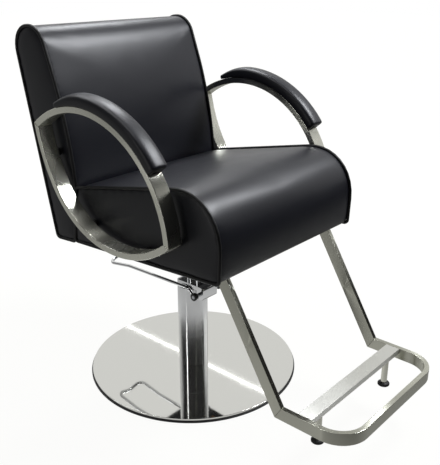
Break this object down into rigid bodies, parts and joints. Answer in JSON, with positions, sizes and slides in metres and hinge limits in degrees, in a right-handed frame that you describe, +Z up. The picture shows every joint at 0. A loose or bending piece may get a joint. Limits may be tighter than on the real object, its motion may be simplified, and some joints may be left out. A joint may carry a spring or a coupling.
{
  "type": "threading chair",
  "caption": "Hydraulic salon chair with boxed seat and back, leaf-shaped steel arm loops with padded rests, bent-bar footrest, pump lever and round polished base.",
  "frame": {"origin": "centre of the round base's underside, on the floor", "axes": "+Z up the column, -Y the way the sitter faces, +X to the sitter's left as they face -Y"},
  "size_m": [0.6256, 0.9865, 0.935],
  "materials": {
    "mirror_steel": "polished",
    "chrome": "polished",
    "satin_steel": "satin",
    "black_rubber": "matte",
    "black_plastic": "satin",
    "cast_grey": "satin",
    "bronze": "satin",
    "zinc_screw": "satin",
    "plywood": "matte",
    "black_steel": "satin",
    "black_vinyl": "satin",
    "vinyl_welt": "satin"
  },
  "bodies": {
    "base": {"base_plate": "black_steel", "base_ring": "black_rubber", "base_cover": "mirror_steel", "base_bolts": "zinc_screw", "column_cover": "chrome", "column_socket": "cast_grey", "thrust_washer": "bronze", "swivel_bush": "bronze", "column_guide": "black_plastic"},
    "pump": {"pump_cylinder": "satin_steel", "pump_gland": "black_rubber", "pump_head": "chrome", "lever_pin": "zinc_screw"},
    "lever": {"pump_lever": "chrome", "lever_hubs": "black_plastic"},
    "seat": {"ram": "chrome", "seat_mount": "black_steel", "mount_screws": "zinc_screw", "seat_board": "plywood", "seat_cushion": "black_vinyl", "seat_piping": "vinyl_welt", "back_board": "plywood", "back_screws": "zinc_screw", "back_cushion": "black_vinyl", "back_piping": "vinyl_welt", "left_back_bracket": "black_steel", "right_back_bracket": "black_steel", "bracket_screws": "zinc_screw", "left_arm_loop": "satin_steel", "right_arm_loop": "satin_steel", "left_arm_studs": "black_steel", "right_arm_studs": "black_steel", "left_arm_pad": "black_vinyl", "right_arm_pad": "black_vinyl", "arm_pad_screws": "zinc_screw", "left_footrest_leg": "satin_steel", "right_footrest_leg": "satin_steel", "footrest_bow": "satin_steel", "footrest_tread": "satin_steel", "footrest_posts": "zinc_screw", "footrest_glides": "black_rubber", "left_leg_plate": "black_steel", "right_leg_plate": "black_steel", "leg_screws": "zinc_screw"}
  },
  "joints": [
    {"name": "swivel", "type": "hinge", "parent": "base", "child": "pump", "pos_m": [0, 0, 0.1], "axis": [0, 0, 1], "continuous": true},
    {"name": "lever_stroke", "type": "hinge", "parent": "pump", "child": "lever", "pos_m": [0, -0.0545, 0.243], "axis": [1, 0, 0], "range_deg": [-20, 5], "stiffness_Nm_per_rad": 8, "springref_deg": 5.16},
    {"name": "seat_lift", "type": "slide", "parent": "pump", "child": "seat", "axis": [0, 0, 1], "range_m": [-0.078, 0.075]}
  ]
}
